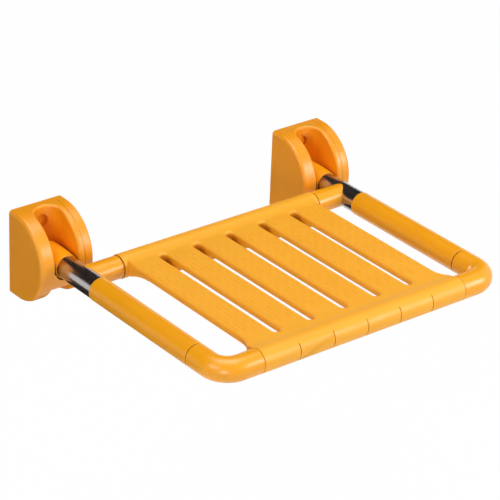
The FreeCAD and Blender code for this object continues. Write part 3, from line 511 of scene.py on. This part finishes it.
polished_steel = drawn_metal(
    "polished_steel", stretch=(6.0, 1000.0, 6.0),
    dark=(0.44, 0.405, 0.40, 1.0), light=(0.54, 0.50, 0.495, 1.0), gloss=(0.18, 0.23), depth=0.0002)
# The core steel is darker than bare steel; where it shows in the joint gaps, its dark colour is painted
# shade.
core_steel = drawn_metal(
    "core_steel", stretch=(260.0, 260.0, 260.0),
    dark=(0.20, 0.20, 0.21, 1.0), light=(0.32, 0.32, 0.33, 1.0), gloss=(0.3, 0.45), depth=0.00003)
bearing_plastic = moulded_plastic(
    "bearing_plastic", deep=(0.62, 0.60, 0.54, 1.0), bright=(0.70, 0.68, 0.62, 1.0),
    pebble_scale=1500.0, gloss=(0.5, 0.65), depth=0.00003, coat=0.12)
print("hardware:", polished_steel.name, core_steel.name, bearing_plastic.name)

# %% [markdown]
# ## Finish of each solid
#
# The imported record says which finish each node carries. The nodes could be dressed one by one, but a
# loop over the record can't miss any. A node keeps its mesh, and only the material in its slot
# changes. In the photograph the brackets are a shade more orange than the arms, so the pieces of a
# bracket get a copy of the nylon that is a little darker and more orange.

# %% Give every node its finish
finishes = {
    "yellow_nylon": yellow_nylon,
    "yellow_seat": yellow_seat,
    "polished_steel": polished_steel,
    "core_steel": core_steel,
    "bearing_plastic": bearing_plastic,
}
for entry in frame["record"]["subparts"]:
    materials = nodes[entry["node"]].data.materials
    materials.clear()
    of_bracket = "bracket" in entry["node"] or entry["node"].endswith("arm_rest")
    materials.append(bracket_nylon if of_bracket else finishes[entry["material_slot"]])

# %% [markdown]
# ## Grip grains on the slats
#
# The slat tops carry rows of long, low grains along the slats that keep a wet bather from sliding.
# Bump in the material would look much the same from afar, but real grains catch the light at their
# edges. One grain is the upper part of a small stretched ball, closed below, with its root sunk in
# the slat. It is made once, copied along the rows, and the rows are copied from slat to slat. There
# are some hundreds of them, so one grain has only a few dozen faces.

# %% One grain
grain_long, grain_wide, grain_high = 0.017, 0.0021, 0.00065
root_share = 0.15

shape = bmesh.new()
bmesh.ops.create_icosphere(shape, subdivisions=2, radius=1.0)
whole = shape.verts[:] + shape.edges[:] + shape.faces[:]
bmesh.ops.bisect_plane(
    shape, geom=whole, plane_co=(0, 0, -root_share), plane_no=(0, 0, -1), clear_outer=True)
rim = [e for e in shape.edges if e.is_boundary]
bmesh.ops.holes_fill(shape, edges=rim)
for edge in rim:
    edge.smooth = False
bmesh.ops.recalc_face_normals(shape, faces=shape.faces)
bmesh.ops.scale(shape, verts=shape.verts, vec=(grain_wide / 2, grain_long / 2, grain_high))
print("faces of a grain:", len(shape.faces))

# %% One slat's grains
slat_top = 0.0125
row_pitch, rows = 0.0078, 5
grain_pitch = 0.0185
field_rear, field_front = -0.148, -0.386


def verts_of(geometry):
    return [item for item in geometry if isinstance(item, bmesh.types.BMVert)]


def copy_moved(geometry, step):
    copy = bmesh.ops.duplicate(shape, geom=geometry)["geom"]
    bmesh.ops.translate(shape, verts=verts_of(copy), vec=step)


first_grain = shape.verts[:] + shape.edges[:] + shape.faces[:]
grains_on_slat = 0
for row in range(rows):
    x = (row - (rows - 1) / 2) * row_pitch
    y = field_rear - grain_long / 2 - (row % 2) * grain_pitch / 2
    while y - grain_long / 2 > field_front:
        copy_moved(first_grain, (x, y, slat_top))
        grains_on_slat += 1
        y -= grain_pitch
bmesh.ops.delete(shape, geom=verts_of(first_grain), context="VERTS")
print("grains on a slat:", grains_on_slat)

# %% All slats
slat_pitch = 0.05723
slat_count = 6

one_slat = shape.verts[:] + shape.edges[:] + shape.faces[:]
for index in range(1, slat_count):
    copy_moved(one_slat, (index * slat_pitch, 0, 0))
outer_x = -(slat_count - 1) / 2 * slat_pitch
bmesh.ops.translate(shape, verts=shape.verts, vec=(outer_x, 0, 0))
for face in shape.faces:
    face.smooth = True

grain_mesh = bpy.data.meshes.new("slat_grip_grains")
shape.to_mesh(grain_mesh)
shape.free()
grain_mesh.materials.append(yellow_seat)
grains = bpy.data.objects.new("slat_grip_grains", grain_mesh)
scene.collection.objects.link(grains)
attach(grains, "seat")
print("grip faces:", len(grain_mesh.polygons))
